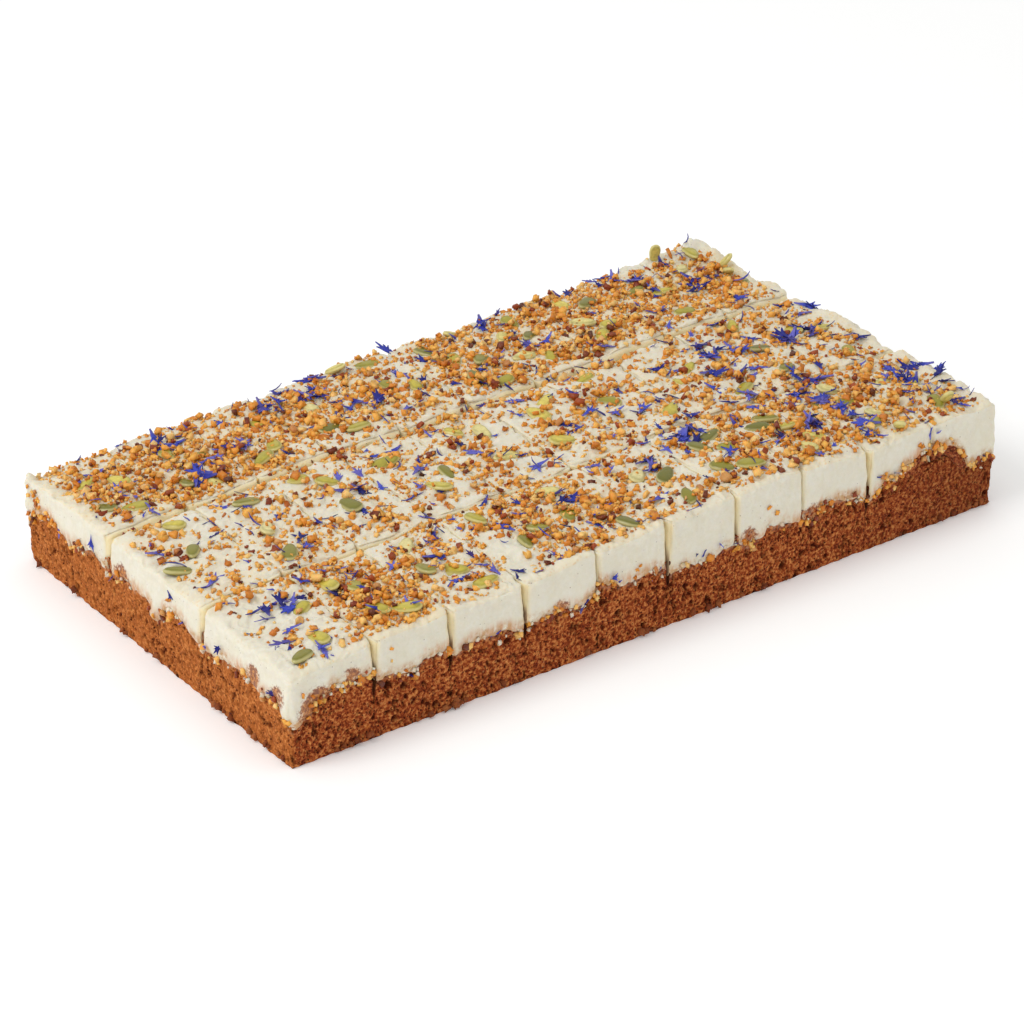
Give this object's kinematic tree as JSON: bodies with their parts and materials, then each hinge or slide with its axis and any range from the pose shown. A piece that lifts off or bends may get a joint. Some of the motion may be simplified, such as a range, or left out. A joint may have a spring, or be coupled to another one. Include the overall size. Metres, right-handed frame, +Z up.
{
  "type": "carrot cake slab",
  "caption": "Rectangular carrot cake slab with cream cheese icing, cut into slices, topped with nut crumbs, pumpkin seeds and blue petals.",
  "frame": {"origin": "on the surface the cake rests on, under the middle of the slab", "axes": "+X along the slab's long side, +Y across it to the far long side, +Z up"},
  "size_m": [0.3998, 0.226, 0.0606],
  "materials": {
    "carrot_sponge": "open, crumbly carrot sponge, warm orange brown with small dark pores",
    "cream_cheese_icing": "thick ivory cream cheese icing, softly spread, with nut crumbs, pumpkin seeds and petals pressed in"
  },
  "bodies": {
    "root": {"sponge_1_1": "carrot_sponge", "icing_1_1": "cream_cheese_icing", "sponge_1_2": "carrot_sponge", "icing_1_2": "cream_cheese_icing", "sponge_1_3": "carrot_sponge", "icing_1_3": "cream_cheese_icing", "sponge_1_4": "carrot_sponge", "icing_1_4": "cream_cheese_icing", "sponge_1_5": "carrot_sponge", "icing_1_5": "cream_cheese_icing", "sponge_1_6": "carrot_sponge", "icing_1_6": "cream_cheese_icing", "sponge_1_7": "carrot_sponge", "icing_1_7": "cream_cheese_icing", "sponge_1_8": "carrot_sponge", "icing_1_8": "cream_cheese_icing", "sponge_1_9": "carrot_sponge", "icing_1_9": "cream_cheese_icing", "sponge_1_10": "carrot_sponge", "icing_1_10": "cream_cheese_icing", "sponge_2_1": "carrot_sponge", "icing_2_1": "cream_cheese_icing", "sponge_2_2": "carrot_sponge", "icing_2_2": "cream_cheese_icing", "sponge_2_3": "carrot_sponge", "icing_2_3": "cream_cheese_icing", "sponge_2_4": "carrot_sponge", "icing_2_4": "cream_cheese_icing", "sponge_2_5": "carrot_sponge", "icing_2_5": "cream_cheese_icing", "sponge_2_6": "carrot_sponge", "icing_2_6": "cream_cheese_icing", "sponge_2_7": "carrot_sponge", "icing_2_7": "cream_cheese_icing", "sponge_2_8": "carrot_sponge", "icing_2_8": "cream_cheese_icing", "sponge_2_9": "carrot_sponge", "icing_2_9": "cream_cheese_icing", "sponge_2_10": "carrot_sponge", "icing_2_10": "cream_cheese_icing", "sponge_3_1": "carrot_sponge", "icing_3_1": "cream_cheese_icing", "sponge_3_2": "carrot_sponge", "icing_3_2": "cream_cheese_icing", "sponge_3_3": "carrot_sponge", "icing_3_3": "cream_cheese_icing", "sponge_3_4": "carrot_sponge", "icing_3_4": "cream_cheese_icing", "sponge_3_5": "carrot_sponge", "icing_3_5": "cream_cheese_icing", "sponge_3_6": "carrot_sponge", "icing_3_6": "cream_cheese_icing", "sponge_3_7": "carrot_sponge", "icing_3_7": "cream_cheese_icing", "sponge_3_8": "carrot_sponge", "icing_3_8": "cream_cheese_icing", "sponge_3_9": "carrot_sponge", "icing_3_9": "cream_cheese_icing", "sponge_3_10": "carrot_sponge", "icing_3_10": "cream_cheese_icing"}
  },
  "joints": []
}
